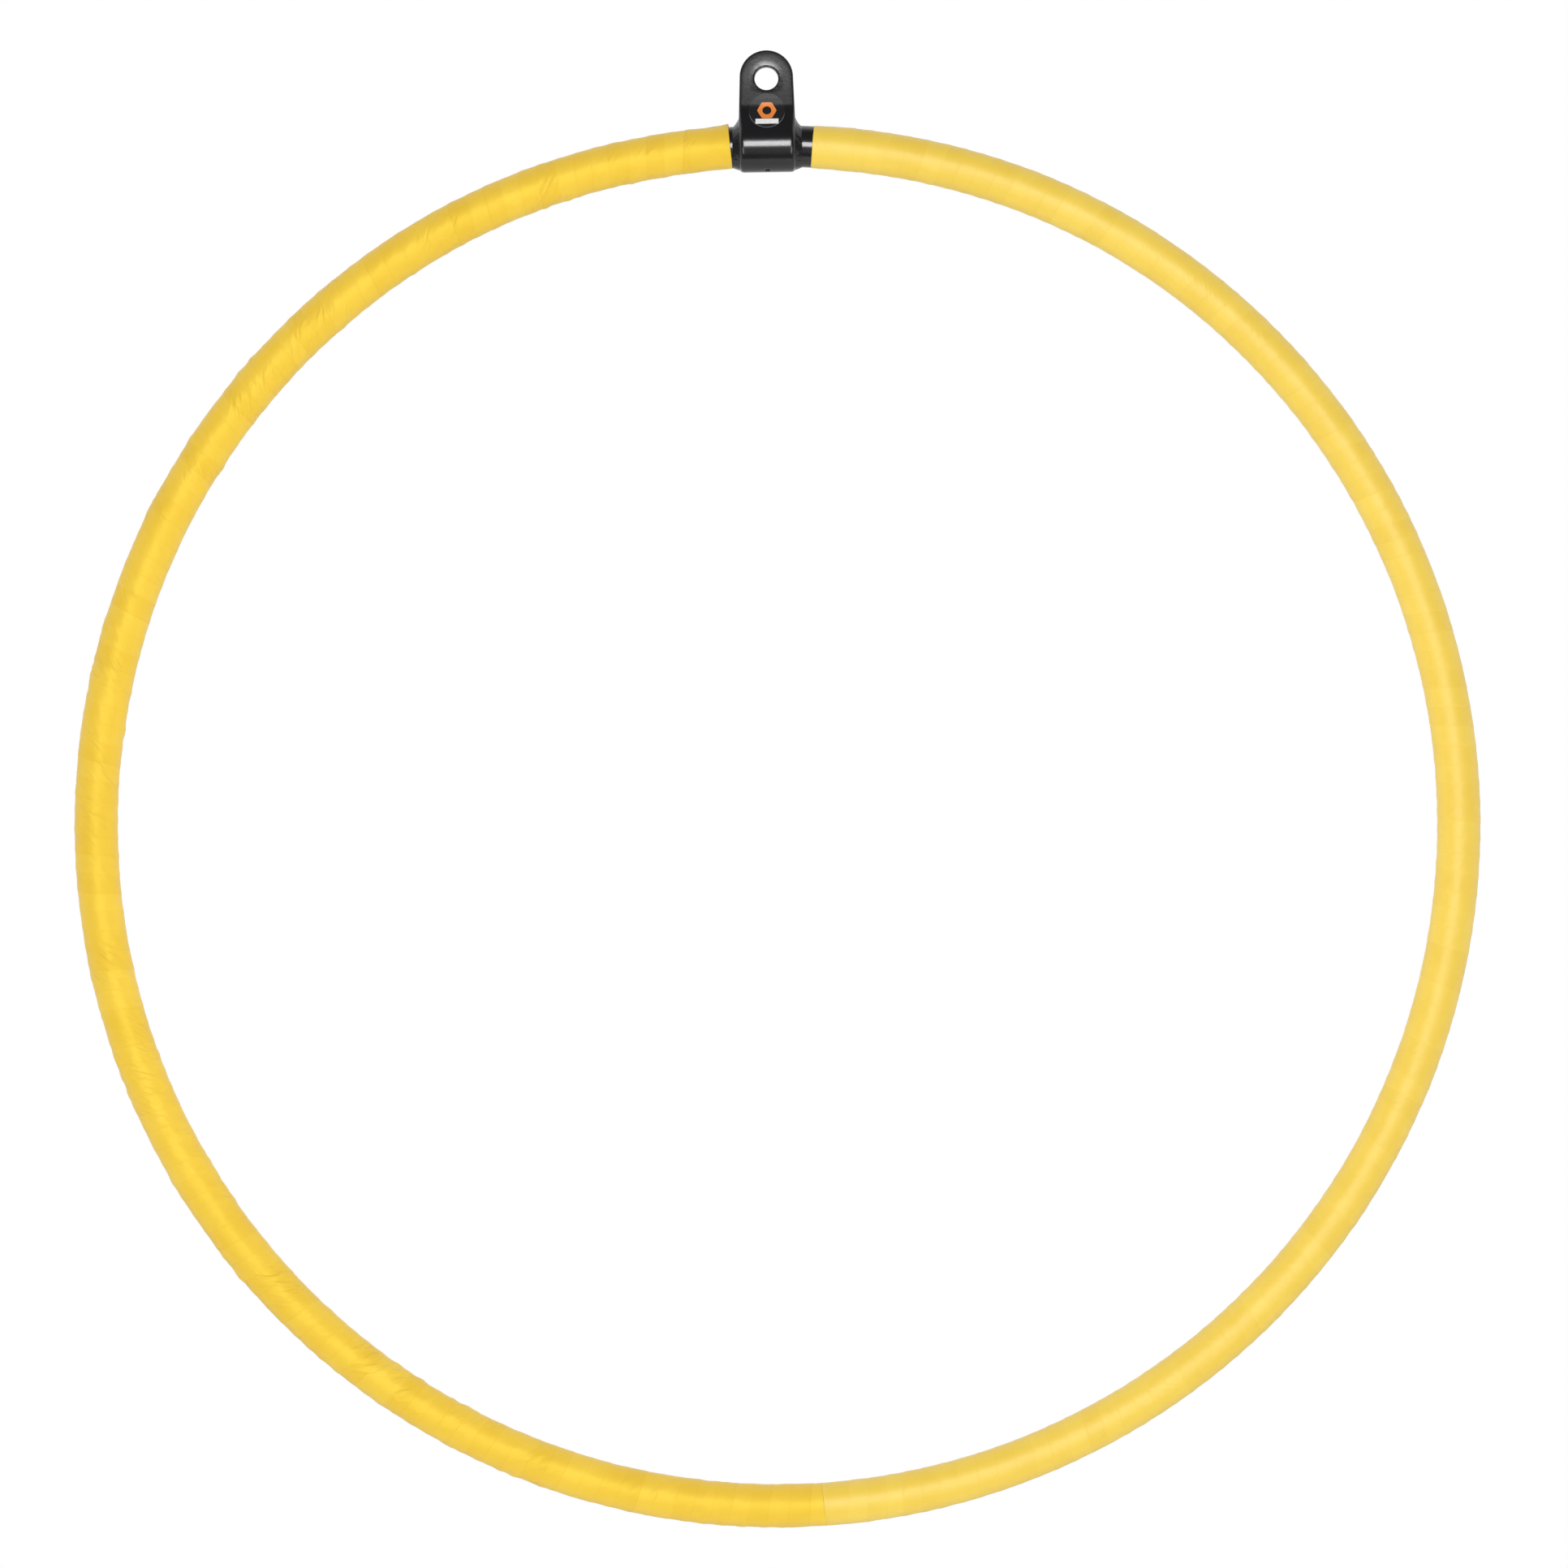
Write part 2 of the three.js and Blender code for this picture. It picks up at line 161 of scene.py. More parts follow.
class Shape:
    """Points and faces of a mesh, in millimetres, as they are added."""

    def __init__(self):
        self.points = []
        self.faces = []

    def add(self, points):
        start = len(self.points)
        self.points.extend(tuple(map(float, p)) for p in points)
        return list(range(start, len(self.points)))

    def join(self, row, next_row, closed=False):
        """Quads between two rows of the same length."""
        count = len(row)
        for i in range(count if closed else count - 1):
            j = (i + 1) % count
            self.faces.append((row[i], row[j], next_row[j], next_row[i]))

    def object(self, name, material, sharp=None):
        mesh = bpy.data.meshes.new(name)
        mesh.from_pydata([tuple(c * MM for c in p) for p in self.points], [], self.faces)
        work = bmesh.new()
        work.from_mesh(mesh)
        bmesh.ops.recalc_face_normals(work, faces=work.faces)
        work.to_mesh(mesh)
        work.free()
        mesh.polygons.foreach_set("use_smooth", [True] * len(mesh.polygons))
        if sharp:
            mesh.set_sharp_from_angle(angle=sharp)
        mesh.materials.append(material)
        return new_object(name, mesh)


def place(made, slot, *nodes):
    """A finished piece rides on the one body and stands for its CAD nodes."""
    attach(made, "root")
    if nodes:
        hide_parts(*nodes)


# ---- materials -----------------------------------------------------------------------------------


class Nodes:
    """Short ways to add and link the nodes of a tree."""

    def __init__(self, tree):
        self.nodes = tree.nodes
        self.links = tree.links

    def node(self, kind, inputs=None, **settings):
        made = self.nodes.new(kind)
        for key, value in settings.items():
            setattr(made, key, value)
        for key, value in (inputs or {}).items():
            self.put(made.inputs[key], value)
        return made

    def put(self, socket, value):
        if isinstance(value, bpy.types.NodeSocket):
            self.links.new(value, socket)
        else:
            socket.default_value = value

    def math(self, operation, first, second=0.0):
        return self.node("ShaderNodeMath", {0: first, 1: second}, operation=operation).outputs[0]

    def times(self, first, second):
        return self.math("MULTIPLY", first, second)

    def plus(self, first, second):
        return self.math("ADD", first, second)

    def noise(self, vector, scale, detail=3.0, roughness=0.5):
        inputs = {"Vector": vector, "Scale": scale, "Detail": detail, "Roughness": roughness}
        return self.node("ShaderNodeTexNoise", inputs).outputs["Fac"]

    def ramp(self, value, low, high, to_low=0.0, to_high=1.0):
        inputs = {0: value, 1: low, 2: high, 3: to_low, 4: to_high}
        return self.node("ShaderNodeMapRange", inputs).outputs[0]

    def mix(self, factor, first, second):
        made = self.node("ShaderNodeMix", data_type="RGBA")
        for index, value in ((0, factor), (6, first), (7, second)):
            self.put(made.inputs[index], value)
        return made.outputs[2]

    def bump(self, height, distance, strength=1.0, normal=None):
        inputs = {"Height": height, "Distance": distance, "Strength": strength}
        if normal is not None:
            inputs["Normal"] = normal
        return self.node("ShaderNodeBump", inputs).outputs["Normal"]

    def dot(self, first, second):
        inputs = {0: first, 1: second}
        return self.node("ShaderNodeVectorMath", inputs, operation="DOT_PRODUCT").outputs["Value"]

    def position(self):
        """Object coordinates, in millimetres."""
        where = self.node("ShaderNodeTexCoord").outputs["Object"]
        inputs = {0: where, "Scale": 1 / MM}
        return self.node("ShaderNodeVectorMath", inputs, operation="SCALE").outputs[0]


class Material(Nodes):
    """A Principled material."""

    def __init__(self, name):
        self.material = bpy.data.materials.new(name)
        self.material.use_nodes = True
        super().__init__(self.material.node_tree)
        self.shader = self.nodes["Principled BSDF"]

    def set(self, **values):
        for key, value in values.items():
            self.put(self.shader.inputs[key.replace("_", " ")], value)


def powder_coat():
    """Semi-gloss black powder coat with a little orange peel, faint clouds and rubbed patches by the eye."""
    m = Material("black_powder_coat")
    where = m.position()
    peel = m.noise(where, 0.55, 2.0)
    grain = m.noise(where, 2.6, 3.0)
    cloud = m.noise(where, 0.045, 4.0)
    from_eye = m.node("ShaderNodeVectorMath", {0: where}, operation="LENGTH").outputs["Value"]
    rub = m.times(m.ramp(from_eye, 11.5, 7.0), m.ramp(m.noise(where, 0.35, 5.0), 0.52, 0.66))
    base = m.mix(m.ramp(cloud, 0.35, 0.7), (0.0065, 0.0065, 0.0075, 1), (0.0095, 0.0095, 0.0105, 1))
    m.set(
        Base_Color=m.mix(rub, base, (0.05, 0.05, 0.052, 1)),
        Roughness=m.plus(m.ramp(grain, 0.3, 0.7, 0.19, 0.23), m.times(rub, 0.15)),
        Specular_IOR_Level=0.5,
        Normal=m.bump(peel, 0.03 * MM, 0.7),
    )
    return m.material


def bare_steel():
    """Uncoated steel with brown stains, for what is inside the joint."""
    m = Material("bare_steel")
    where = m.position()
    stain = m.noise(where, 0.12, 5.0)
    m.set(
        Base_Color=m.mix(m.ramp(stain, 0.4, 0.7), (0.42, 0.42, 0.43, 1), (0.24, 0.2, 0.17, 1)),
        Metallic=1.0,
        Roughness=m.ramp(stain, 0.3, 0.7, 0.35, 0.6),
        Normal=m.bump(m.noise(where, 1.5, 4.0), 0.02 * MM),
    )
    return m.material


def weave_height(m, along, across):
    """The weave's height, from 0 to 1: the threads go over and under each other in a chequered pattern."""
    waves, cells = [], []
    for place in (across, along):
        waves.append(m.math("ABSOLUTE", m.math("SINE", m.times(place, math.pi * THREADS_PER_MM))))
        cells.append(m.math("FLOOR", m.times(place, THREADS_PER_MM)))
    over = m.math("PINGPONG", m.plus(*cells), 1.0)
    return m.node("ShaderNodeMix", {0: over, 2: waves[0], 3: waves[1]}, data_type="FLOAT").outputs[0]


def fold_height(m, where):
    """Streaks that lean with the creases, and in patches away from the join, fine creases along them.

    The ring attribute holds millimetres along the ring, towards its middle and towards its front."""
    ring = m.node("ShaderNodeAttribute", attribute_name="ring").outputs["Vector"]
    cos, sin = math.cos(CREASE_LEAN), math.sin(CREASE_LEAN)
    lengthwise = m.dot(ring, (STREAKS_ALONG * cos, STREAKS_ALONG * sin, 0))
    sideways = m.dot(ring, (-STREAKS_ACROSS * sin, STREAKS_ACROSS * cos, 0))
    front = m.dot(ring, (0, 0, STREAKS_FRONT))
    streak_place = m.node("ShaderNodeCombineXYZ", {0: lengthwise, 1: sideways, 2: front}).outputs[0]
    streaks = m.noise(streak_place, 1.0, 1.0)
    crease_line = m.ramp(m.math("ABSOLUTE", m.math("SUBTRACT", streaks, 0.5)), 0.1, 0.0)
    away_from_join = m.ramp(m.dot(ring, (1, 0, 0)), *CREASES_START)
    patches = m.times(m.ramp(m.noise(where, 0.04, 2.0), 0.48, 0.6), away_from_join)
    return m.plus(m.times(crease_line, patches), m.times(streaks, 0.8))


def tape_cloth(name, dark, light, edge, crease_depth, roughness, gloss, gloss_tint):
    """Woven cotton tape. The cloth attribute holds millimetres along and across the tape, and a number
    from 0 to 1 for the turn."""
    m = Material(name)
    where = m.position()
    cloth = m.node("ShaderNodeAttribute", attribute_name="cloth").outputs["Vector"]
    along, across, turn = m.node("ShaderNodeSeparateXYZ", {0: cloth}).outputs
    weave = weave_height(m, along, across)
    tint = m.plus(m.times(m.noise(where, 0.05, 4.0), 0.75), m.times(turn, 0.3))
    colour = m.mix(m.ramp(tint, 0.3, 0.85), dark, light)
    # Darker along the millimetre next to each turn's trailing edge, and painted shade in the weave's low
    # places between the threads; both mix towards the edge colour.
    colour = m.mix(m.ramp(across, 1.0, 0.0, 0.0, 0.15), colour, edge)
    colour = m.mix(m.times(m.ramp(weave, 0.5, 0.0), 0.16), colour, edge)
    fibre = m.noise(where, 3.0, 3.0)
    normal = m.bump(fold_height(m, where), crease_depth * MM, 1.0)
    normal = m.bump(fibre, 0.03 * MM, 0.5, normal)
    m.set(
        Base_Color=colour,
        Roughness=m.ramp(fibre, 0.3, 0.7, roughness - 0.06, roughness + 0.06),
        Specular_IOR_Level=gloss,
        Specular_Tint=gloss_tint,
        Sheen_Weight=0.08,
        Sheen_Roughness=0.5,
        Normal=m.bump(weave, 0.03 * MM, 0.5, normal),
    )
    return m.material


def printed(name, colour, roughness, edge=None):
    """Ink or vinyl: even colour with a faint grain, under a clear film. edge is the height of a round
    label's middle and its radius, where a pale line along the rim's lower half is a painted highlight."""
    m = Material(name)
    where = m.position()
    shade = tuple(c * 0.86 for c in colour[:3]) + (1,)
    base = m.mix(m.ramp(m.noise(where, 0.8, 4.0), 0.35, 0.65), shade, colour)
    if edge:
        middle, radius = edge
        x, _, z = m.node("ShaderNodeSeparateXYZ", {0: where}).outputs
        off = m.node("ShaderNodeCombineXYZ", {0: x, 1: m.math("SUBTRACT", z, middle)}).outputs[0]
        from_middle = m.node("ShaderNodeVectorMath", {0: off}, operation="LENGTH").outputs["Value"]
        # Painted highlight: a pale line just inside the label's rim, on its lower half only.
        rim_highlight = m.ramp(from_middle, radius - 0.5, radius - 0.2)
        lower_half_highlight = m.ramp(z, middle - 1, middle - 5)
        base = m.mix(m.times(rim_highlight, lower_half_highlight), base, (0.16, 0.16, 0.165, 1))
    m.set(
        Base_Color=base,
        Roughness=m.ramp(m.noise(where, 2.0, 3.0), 0.3, 0.7, roughness, roughness + 0.08),
        Coat_Weight=0.3,
        Coat_Roughness=0.15,
        Normal=m.bump(m.noise(where, 1.1, 3.0), 0.012 * MM),
    )
    return m.material


# ---- the ring ------------------------------------------------------------------------------------


def centre_line(angle):
    """Radius of the tube's centre line about the ring's centre, at an angle from the top towards +X."""
    from_top = np.abs((angle + math.pi) % (2 * math.pi) - math.pi)
    flat = np.clip(from_top / JOINT_FLAT_SPREAD, 0, 1)
    return HOOP_RADIUS - JOINT_FLAT * np.cos(flat * math.pi / 2) ** 2


def on_ring(angle, around, radius):
    """Points round the tube. around is 0 on the ring's outside and a quarter turn at the front."""
    reach = centre_line(angle) + radius * np.cos(around)
    across = np.broadcast_to(-radius * np.sin(around), reach.shape)
    return np.stack([reach * np.sin(angle), across, HOOP_CENTRE_Z + reach * np.cos(angle)], axis=-1)


def make_tube(material):
    """The steel tube: a smooth wall outside and in, with open ends under the tab, as in the CAD."""
    steps, sides = 240, 48
    end = HALF_ROOT_GAP / TOP_RADIUS
    angles = np.linspace(end, 2 * math.pi - end, steps + 1)
    around = np.arange(sides) * 2 * math.pi / sides
    shape = Shape()
    outer = [shape.add(on_ring(a, around, TUBE_RADIUS)) for a in angles]
    inner = [shape.add(on_ring(a, around, TUBE_RADIUS - TUBE_WALL)) for a in angles]
    for wall in (outer, inner):
        for row, next_row in zip(wall, wall[1:]):
            shape.join(row, next_row, closed=True)
    shape.join(outer[0], inner[0], closed=True)
    shape.join(outer[-1], inner[-1], closed=True)
    tube = shape.object("steel_tube", material)
    place(tube, "black_coat", "hoop_tube")


# ---- the tape ------------------------------------------------------------------------------------


def turn_starts(length, random):
    """Where each turn's trailing edge starts, in millimetres from the start of the wrap. The first and last
    turns are wound square to the tube."""
    turns = round((length - TAPE_WIDTH) / TAPE_PITCH)
    pitch = np.clip(random.normal(1, PITCH_SPREAD, turns), *PITCH_LIMITS)
    pitch *= (length - TAPE_WIDTH) / pitch.sum()
    return np.concatenate([[0, 0], np.cumsum(pitch), [length - TAPE_WIDTH]])


def add_creases(height, along, around, creases):
    """Raises narrow folds, each a (place along, place around, slant, half length, width, height)."""
    order = np.argsort(along)
    sorted_along = along[order]
    for middle, turn, slant, half, width, rise in creases:
        first, last = np.searchsorted(sorted_along, [middle - half - 3, middle + half + 3])
        near = order[first:last]
        x = along[near] - middle
        y = ((around[near] - turn + math.pi) % (2 * math.pi) - math.pi) * TUBE_RADIUS
        lengthwise = x * math.cos(slant) + y * math.sin(slant)
        sideways = y * math.cos(slant) - x * math.sin(slant)
        fade = np.clip(1 - (lengthwise / half) ** 2, 0, 1)
        height[near] += rise * fade * np.exp(-((sideways / width) ** 2))


def crease_list(length, groups, rise, random):
    """Slanting folds for a wrap, in groups of nearly parallel ones."""
    creases = []
    for _ in range(groups):
        middle = random.uniform(20, length - 15)
        turn = random.normal(math.radians(80), math.radians(70))
        slant = CREASE_LEAN + math.radians(random.normal(0, 16))
        for _ in range(random.integers(3, 8)):
            creases.append(
                (
                    middle + random.normal(0, 9),
                    turn + random.normal(0, 0.45),
                    slant + math.radians(random.normal(0, 7)),
                    random.uniform(4, 12),
                    random.uniform(1.2, 1.8),
                    rise * random.uniform(0.2, 1.0),
                )
            )
    return creases


def tape_grid(starts, length, seed):
    """The strip's grid: a column of points for each step of the winding, close together where it shows.

    Gives how many turns are wound, millimetres across the tape and along the tube, the width that shows,
    and whether each step is past the first turn."""
    turns = np.arange(len(starts))
    wound = np.arange(turns[-1] * COLUMNS_PER_TURN + 1) / COLUMNS_PER_TURN
    edge = np.interp(wound, turns, starts)
    shown = np.interp(wound + 1, turns, starts, right=length) - edge + SHOWN_EXTRA
    shown = np.clip(shown, SHOWN_EXTRA, TAPE_WIDTH - 1)
    past_first = edge > 0
    wander = noise(np.stack([wound * 5, wound * 0, wound * 0 + 0.5], axis=1), seed + 1)
    edge += EDGE_WANDER * wander * past_first
    cut_edge = -CUT_EDGE_OUT * past_first
    under = np.minimum(shown + COVERED_ROW, TAPE_WIDTH - 0.5)
    far_edge = np.full(shown.shape, TAPE_WIDTH)
    seen = np.multiply.outer(SHOWN_ROWS, shown)
    across = np.stack([cut_edge, 0 * shown, *seen, under, far_edge, far_edge], axis=1)
    return wound, across, edge[:, None] + across, shown, past_first


def layered_radius(starts, wound, across, along, past_first):
    """The tape's radius over the layers of earlier turns. It bridges off each one's far edge, and hands
    have pressed its trailing edge down into the turn below."""
    radius = np.full(along.shape, TUBE_RADIUS + TAPE_THICKNESS)
    for earlier in (1, 2, 3):
        before = np.interp(wound - earlier, np.arange(len(starts)), starts, left=-1e3)[:, None]
        beyond = along - (before + TAPE_WIDTH)
        radius += TAPE_THICKNESS * (1 - smoothstep(beyond, *BRIDGE))
    pressed = 1 - smoothstep(across, *PRESSED_REACH)
    radius -= PRESSED_EDGE * TAPE_THICKNESS * pressed * past_first[:, None]
    return radius


def laid_down(radius, wound, across, shown, past_first):
    """The radius with the first and last rows lowered as cut edges, and the part under the next turn
    tight on the tube."""
    radius[:, 0] -= np.where(past_first, CUT_EDGE_DROP, TAPE_THICKNESS + EDGE_CLEARANCE)
    share = across / shown[:, None]
    covered = (wound < wound[-1] - 1)[:, None] & (share > 1.01)
    least = TUBE_RADIUS + SHOWN_RISE - SHOWN_FALL * share
    radius = np.where(covered, TUBE_RADIUS + COVERED_RISE, np.maximum(radius, least))
    radius[:, -1] -= TAPE_THICKNESS + EDGE_CLEARANCE
    return np.maximum(radius, TUBE_RADIUS + LEAST_RISE)


def strip_mesh(name, points, shape, flipped):
    """A smooth mesh from a grid of points of this shape."""
    mesh = bpy.data.meshes.new(name)
    index = np.arange(len(points)).reshape(shape)
    corners = [index[:-1, :-1], index[1:, :-1], index[1:, 1:], index[:-1, 1:]]
    quads = np.stack(corners, axis=-1).reshape(-1, 4)
    if flipped:
        quads = quads[:, ::-1]
    mesh.from_pydata((points * MM).tolist(), [], quads.tolist())
    mesh.polygons.foreach_set("use_smooth", [True] * len(mesh.polygons))
    return mesh


def add_vectors(mesh, name, columns):
    """Stores a named vector at each point of a mesh."""
    vectors = np.stack(columns, axis=1)
    mesh.attributes.new(name, "FLOAT_VECTOR", "POINT").data.foreach_set("vector", vectors.ravel())


def make_wrap(name, node, slot, material, start, end, spin, seed, groups, crease_rise, pucker, lift, slope):
    """One length of tape, wound from the join at angle start to the tab at angle end, each turn over a
    little more than half of the one before. spin is 1 or -1, the way that it goes round the tube, and
    slope is how far the join leans."""
    random = np.random.default_rng(seed)
    length = abs(end - start) * HOOP_RADIUS
    direction = math.copysign(1, end - start)
    starts = turn_starts(length, random)
    turns = len(starts) - 1
    wound, across, along, shown, past_first = tape_grid(starts, length, seed)
    turn = np.repeat(wound[:, None], across.shape[1], axis=1)
    around = spin * 2 * math.pi * turn
    radius = layered_radius(starts, wound, across, along, past_first)

    # The end at the tab and the join aren't quite square to the tube.
    near_end = smoothstep(along, length - END_FADE[0], length - END_FADE[1])
    near_join = 1 - smoothstep(along, *JOIN_FADE)
    along_slanted = along - (END_SLANT * near_end + slope * near_join) * np.cos(around)

    flat_along, flat_around = along.ravel(), around.ravel()
    outwards = TUBE_RADIUS * np.cos(flat_around)
    forwards = TUBE_RADIUS * np.sin(flat_around)
    where = np.stack([flat_along, outwards, forwards], axis=1)
    swell = pucker * noise(where / 9, seed + 2) + 0.5 * pucker * noise(where / 4, seed + 3)
    add_creases(swell, flat_along, flat_around, crease_list(length, groups, crease_rise, random))
    radius += np.clip(swell, *SWELL_LIMITS).reshape(radius.shape)

    # The free corner at the tab curls up off the outside of the tube.
    turned = (around + math.pi) % (2 * math.pi) - math.pi
    curl = smoothstep(along, length - CURL_REACH, length) * np.exp(-((turned / CURL_SPREAD) ** 2))
    radius += lift * curl * (turn > turns - 1.5)
    radius = laid_down(radius, wound, across, shown, past_first)

    angle = start + direction * along_slanted / HOOP_RADIUS
    points = on_ring(angle.ravel(), flat_around, radius.ravel())
    mesh = strip_mesh(name, points, across.shape, flipped=direction * spin < 0)
    tints = random.uniform(0, 1, turns + 2)
    unwound = turn.ravel() * 2 * math.pi * TUBE_RADIUS
    add_vectors(mesh, "cloth", [unwound, across.ravel(), tints[np.floor(turn.ravel()).astype(int)]])
    add_vectors(mesh, "ring", [flat_along, -outwards, forwards])
    mesh.materials.append(material)
    wrap = new_object(name, mesh)
    place(wrap, slot, node)
    return wrap


# ---- the tab -------------------------------------------------------------------------------------

PLY_FOOT = 28.2  # the flat patch round the eye starts here, and the fold ends
PLY_LEAN_TOP = math.radians(3)
PLY_LEAN_FOOT = math.radians(5.5)
PLY_COLUMNS = 24
SIDE_STEPS = 10
ARC_STEPS = 40
PLY_STEPS = 3
BEND_STEPS = 12
FLARE_STEPS = 8
FOLD_STEPS = 48
VENT_STEPS = 3  # how many of the fold's steps the vent hole is forward of straight down
# The eye's rim, from the flat face into the bore: each ring's radius and how far it is proud of the face.
EYE_RIM = [(8.3, 0.0), (8.0, -0.04), (7.75, -0.13), (7.5, -0.28), (7.3, -0.48), (7.18, -0.72), (7.15, -1.0)]


def half_width(height):
    """Half the bar's width: it tapers towards the eye."""
    taper = (HALF_WIDTH - TAB_TOP_RADIUS) / (ARC_HEIGHT - TAPER_START)
    return HALF_WIDTH - taper * max(0.0, height - TAPER_START)


def ply_lean(height):
    """The angle between a ply's face and upright at a height: the plies close towards the top."""
    top = ARC_HEIGHT + TAB_TOP_RADIUS
    return PLY_LEAN_FOOT + (PLY_LEAN_TOP - PLY_LEAN_FOOT) * (height - PLY_FOOT) / (top - PLY_FOOT)


def ply_face(height):
    """How far a ply's outer face is from the tab's middle plane. At the eye it is the bar's thickness."""
    middle = (height + EYE_HEIGHT) / 2
    return STRAP_THICKNESS - (height - EYE_HEIGHT) * math.tan(ply_lean(middle))


def bar_depth(face_y, flatness=1.0):
    """The bar's thickness where its face is this far from the middle plane. The plies meet near the top."""
    whole = STRAP_THICKNESS - PLY_INNER_GAP
    return min(whole, face_y - PLY_INNER_GAP) if flatness > 0.98 else whole


def fold_line():
    """The bar's outer face seen from its side, from the front ply, round the tube, to the back ply: rows of
    (y, height, normal y, normal height) in the tab's own frame."""
    sin, cos = math.sin(FLARE_ANGLE), math.cos(FLARE_ANGLE)
    lean, foot_y = ply_lean(PLY_FOOT), ply_face(PLY_FOOT)
    # Where the leaning face would meet the flare, and the round between them.
    flare_slope, ply_slope = math.tan(FLARE_ANGLE), math.tan(lean)
    corner = (WRAP_RADIUS / cos - foot_y - PLY_FOOT * ply_slope) / (flare_slope - ply_slope)
    reach = BEND_RADIUS * math.tan((FLARE_ANGLE - lean) / 2)
    bend_z = corner + reach * math.cos(lean)
    bend_y = -foot_y - (PLY_FOOT - bend_z) * math.tan(lean)
    centre_y = bend_y - BEND_RADIUS * math.cos(lean)
    centre_z = bend_z + BEND_RADIUS * math.sin(lean)
    front = []
    for i in range(PLY_STEPS):
        share = i / PLY_STEPS
        y = -foot_y + (bend_y + foot_y) * share
        front.append((y, PLY_FOOT + (bend_z - PLY_FOOT) * share, -math.cos(lean), math.sin(lean)))
    for i in range(BEND_STEPS + 1):
        turn = lean + (FLARE_ANGLE - lean) * i / BEND_STEPS
        y = centre_y + BEND_RADIUS * math.cos(turn)
        front.append((y, centre_z - BEND_RADIUS * math.sin(turn), -math.cos(turn), math.sin(turn)))
    last, touch = front[-1], (-WRAP_RADIUS * cos, WRAP_RADIUS * sin)
    for i in range(1, FLARE_STEPS):
        share = i / FLARE_STEPS
        y = last[0] + (touch[0] - last[0]) * share
        front.append((y, last[1] + (touch[1] - last[1]) * share, -cos, sin))
    rounds = []
    for i in range(FOLD_STEPS + 1):
        turn = math.pi - FLARE_ANGLE + (math.pi + 2 * FLARE_ANGLE) * i / FOLD_STEPS
        ny, nz = math.cos(turn), math.sin(turn)
        rounds.append((WRAP_RADIUS * ny, WRAP_RADIUS * nz, ny, nz))
    back = [(-y, z, -ny, nz) for y, z, ny, nz in reversed(front)]
    return front + rounds + back


class Rim:
    """A point on the bar's outline: its place, the way in across the face, the face's normal, the edge's
    round and the bar's depth behind it."""

    def __init__(self, x, y, z, inward, normal, edge_round):
        self.base = np.array([x, y, z])
        self.inward = np.array(inward)
        self.normal = np.array(normal)
        self.round = edge_round
        self.depth = bar_depth(abs(y), abs(normal[1]))

    def at(self, inset, depth):
        return self.base + inset * self.inward - depth * self.normal


def ply_rim(face):
    """The outline round one ply, from the foot at -X over the top to the foot at +X. face is -1 in front."""
    outline = []
    for i in range(SIDE_STEPS):
        height = PLY_FOOT + (ARC_HEIGHT - PLY_FOOT) * i / SIDE_STEPS
        outline.append((-half_width(height), height, (1, 0, 0)))
    for i in range(ARC_STEPS + 1):
        turn = math.pi * (1 - i / ARC_STEPS)
        x, z = math.cos(turn), math.sin(turn)
        outline.append((TAB_TOP_RADIUS * x, ARC_HEIGHT + TAB_TOP_RADIUS * z, (-x, 0, -z)))
    outline += [(-x, height, (-1, 0, 0)) for x, height, _ in reversed(outline[:SIDE_STEPS])]
    rim = []
    for x, height, inward in outline:
        lean = ply_lean(height)
        normal = (0, face * math.cos(lean), math.sin(lean))
        rim.append(Rim(x, face * ply_face(height), height, inward, normal, TAB_EDGE_ROUND))
    return rim


def edge_round_at(height):
    """The bar's edges are rounder on the sleeve, where the welds were dressed."""
    return float(TAB_EDGE_ROUND + (WRAP_EDGE_ROUND - TAB_EDGE_ROUND) * (1 - smoothstep(height, 6, 22)))


def side_rim(side, line):
    """The outline down one side of the fold, between the two plies."""
    rim = []
    for y, z, ny, nz in line:
        rim.append(Rim(side * half_width(z), y, z, (-side, 0, 0), (0, ny, nz), edge_round_at(z)))
    return rim


def face_mesh(shape, line, rims, inset_of, outside):
    """One face of the bar, its outside or its inside: a patch round the eye on each ply and a grid over
    the fold between them. rims are the rows of outline points already added. Gives the holes' loops."""
    front_rim, right_rim, back_rim, left_rim = rims
    across = np.linspace(-1, 1, PLY_COLUMNS + 1)[1:-1]
    grid = []
    for i, (y, z, ny, nz) in enumerate(line):
        depth = 0 if outside else bar_depth(abs(y), abs(ny))
        reach = half_width(z) - inset_of(z)
        points = [(reach * share, y - depth * ny, z - depth * nz) for share in across]
        grid.append([left_rim[i], *shape.add(points), right_rim[i]])
    vent_row, vent_column, block = len(line) // 2 - VENT_STEPS, PLY_COLUMNS // 2, 2
    for i in range(len(grid) - 1):
        for j in range(PLY_COLUMNS):
            beside_vent = abs(i - vent_row + 0.5) < block and abs(j - vent_column + 0.5) < block
            if not beside_vent:
                shape.faces.append((grid[i][j], grid[i][j + 1], grid[i + 1][j + 1], grid[i + 1][j]))
    bottom = WRAP_RADIUS - (0 if outside else STRAP_THICKNESS - PLY_INNER_GAP)
    loops = [vent_patch(shape, grid, vent_row, vent_column, block, bottom)]
    for rim, foot, face in ((front_rim, grid[0], -1), (back_rim, grid[-1], 1)):
        loops.append(eye_patch(shape, rim, foot, face, outside))
    return loops


